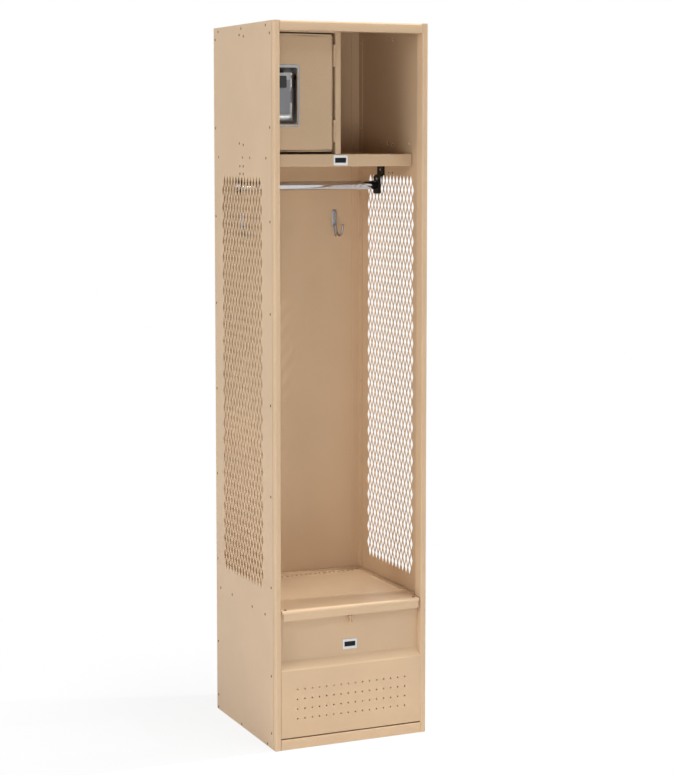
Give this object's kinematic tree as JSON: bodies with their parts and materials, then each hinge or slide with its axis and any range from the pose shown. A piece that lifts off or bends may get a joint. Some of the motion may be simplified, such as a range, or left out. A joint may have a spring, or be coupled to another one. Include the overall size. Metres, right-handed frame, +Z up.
{
  "type": "doorless wardrobe locker",
  "caption": "Doorless steel locker: mesh sides, small locking box and open cubby over a hat shelf, coat rod, wall hooks, and a vented foot locker under a lift-up seat.",
  "frame": {"origin": "floor level, at the centre of the footprint", "axes": "+Z up, the open front faces -Y, +X to the right of a person facing the front"},
  "size_m": [0.4572, 0.4572, 1.9812],
  "materials": {
    "powder_coat": "satin powder coat",
    "stainless": "brushed stainless",
    "chrome": "bright chrome plate",
    "zinc_plate": "zinc plate",
    "black_steel": "black paint",
    "black_nylon": "moulded",
    "rubber": "matt",
    "number_plate": "anodised"
  },
  "bodies": {
    "cabinet": {"back_panel": "powder_coat", "base_number_plate": "number_plate", "base_pan": "powder_coat", "bottom_rail": "powder_coat", "box_header": "powder_coat", "box_hinge_fixed_lower": "powder_coat", "box_hinge_fixed_upper": "powder_coat", "box_hinge_pin_lower": "zinc_plate", "box_hinge_pin_upper": "zinc_plate", "coat_hook_left": "zinc_plate", "coat_hook_right": "zinc_plate", "coat_rod": "chrome", "divider_panel": "powder_coat", "foot_locker_front": "powder_coat", "hasp_eye": "powder_coat", "hat_shelf": "powder_coat", "hinge_post": "powder_coat", "latch_jamb": "powder_coat", "latch_strike": "zinc_plate", "rear_upright_left": "powder_coat", "rear_upright_right": "powder_coat", "rod_bracket_left": "black_steel", "rod_bracket_right": "black_steel", "seat_hinge_fixed": "powder_coat", "seat_hinge_pin": "zinc_plate", "seat_ledge_left": "powder_coat", "seat_ledge_right": "powder_coat", "seat_rear_strip": "powder_coat", "shelf_number_plate": "number_plate", "side_panel_left": "powder_coat", "side_panel_right": "powder_coat", "stile_left": "powder_coat", "stile_right": "powder_coat", "top_panel": "powder_coat", "top_rail": "powder_coat"},
    "box_door": {"box_door": "powder_coat", "box_hinge_moving_lower": "powder_coat", "box_hinge_moving_upper": "powder_coat", "handle_cup": "stainless"},
    "box_latch": {"lift_trigger": "stainless", "trigger_block": "black_nylon", "latch_bar": "zinc_plate"},
    "seat": {"seat_lid": "powder_coat", "seat_hinge_moving": "powder_coat", "lid_bumper_left": "rubber", "lid_bumper_right": "rubber", "lid_hasp_tab": "powder_coat"}
  },
  "joints": [
    {"name": "box_door_hinge", "type": "hinge", "parent": "cabinet", "child": "box_door", "pos_m": [-0.0123, -0.1356, 1.7916], "axis": [0, 0, 1], "range_deg": [0, 170]},
    {"name": "box_latch_slide", "type": "slide", "parent": "box_door", "child": "box_latch", "axis": [0, 0, 1], "range_m": [0, 0.008]},
    {"name": "seat_hinge", "type": "hinge", "parent": "cabinet", "child": "seat", "pos_m": [0, 0.1814, 0.3838], "axis": [-1, 0, 0], "range_deg": [0, 95]}
  ]
}
